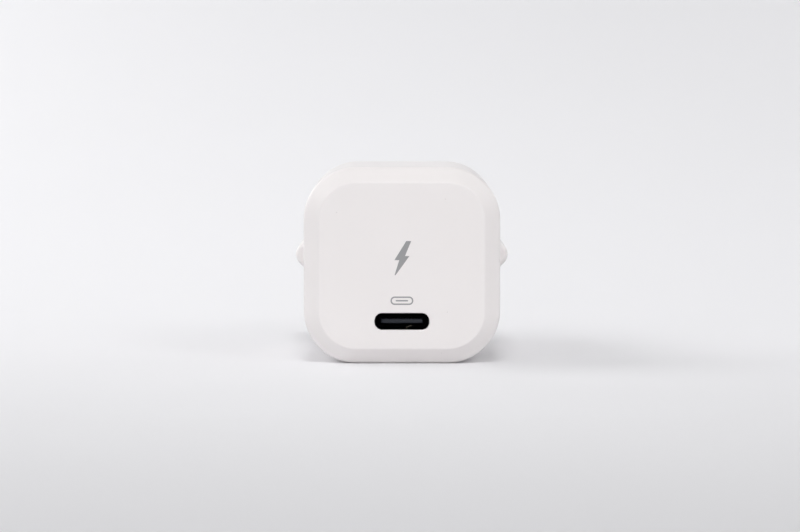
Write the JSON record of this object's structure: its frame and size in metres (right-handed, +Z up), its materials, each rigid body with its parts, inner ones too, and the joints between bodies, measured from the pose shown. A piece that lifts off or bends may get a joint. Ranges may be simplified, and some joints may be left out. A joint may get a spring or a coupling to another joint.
{
  "type": "wall charger",
  "caption": "Cube-shaped white wall charger with a bevelled front, one flat charging port low on the front and a flat two-pin plug at the back.",
  "frame": {"origin": "middle of the flat underside of the case", "axes": "+X to the right seen from the front, +Y from the front face to the plug pins, +Z up"},
  "size_m": [0.0354, 0.069, 0.0312],
  "materials": {
    "case_white": "fine matt moulded texture",
    "sleeve_grey": "satin moulded",
    "pin_nickel": "nickel plated, polished",
    "strip_brass": "rolled",
    "shell_steel": "dark plated",
    "tongue_black": "moulded",
    "contact_gold": "gold plated",
    "board_green": "solder mask",
    "ferrite": "ground",
    "bobbin_black": "moulded",
    "tape_yellow": "tape",
    "tinned": "tinned",
    "can_aluminium": "drawn",
    "bung_rubber": "moulded",
    "fuse_brown": "moulded",
    "copper": "enamelled wire",
    "chip_black": "moulded",
    "capacitor_tan": "fired",
    "pad_grey": "soft",
    "spreader": "rolled",
    "sheet_clear": "film"
  },
  "bodies": {
    "root": {"housing": "case_white", "rear_cover": "case_white", "pin_left": "pin_nickel", "pin_right": "pin_nickel", "pin_sleeve_left": "sleeve_grey", "pin_sleeve_right": "sleeve_grey", "contact_strip_left": "strip_brass", "contact_strip_right": "strip_brass", "port_shell": "shell_steel", "port_insulator": "tongue_black", "port_contacts": "contact_gold", "main_board": "board_green", "transformer_core_lower": "ferrite", "transformer_core_upper": "ferrite", "transformer_bobbin": "bobbin_black", "transformer_winding": "tape_yellow", "transformer_pins": "tinned", "bulk_capacitor_front": "can_aluminium", "bulk_capacitor_rear": "can_aluminium", "bulk_capacitor_bungs": "bung_rubber", "bulk_capacitor_leads": "tinned", "output_capacitor": "can_aluminium", "output_capacitor_bung": "bung_rubber", "output_capacitor_leads": "tinned", "fuse": "fuse_brown", "fuse_leads": "tinned", "choke_core": "ferrite", "choke_winding": "copper", "choke_leads": "tinned", "bridge_rectifier": "chip_black", "power_switch": "chip_black", "sync_rectifier": "chip_black", "optocoupler": "chip_black", "charge_controller": "chip_black", "safety_capacitor": "capacitor_tan", "chip_passives": "capacitor_tan", "thermal_pad": "pad_grey", "heat_spreader": "spreader", "barrier_sheet": "sheet_clear"}
  },
  "joints": []
}
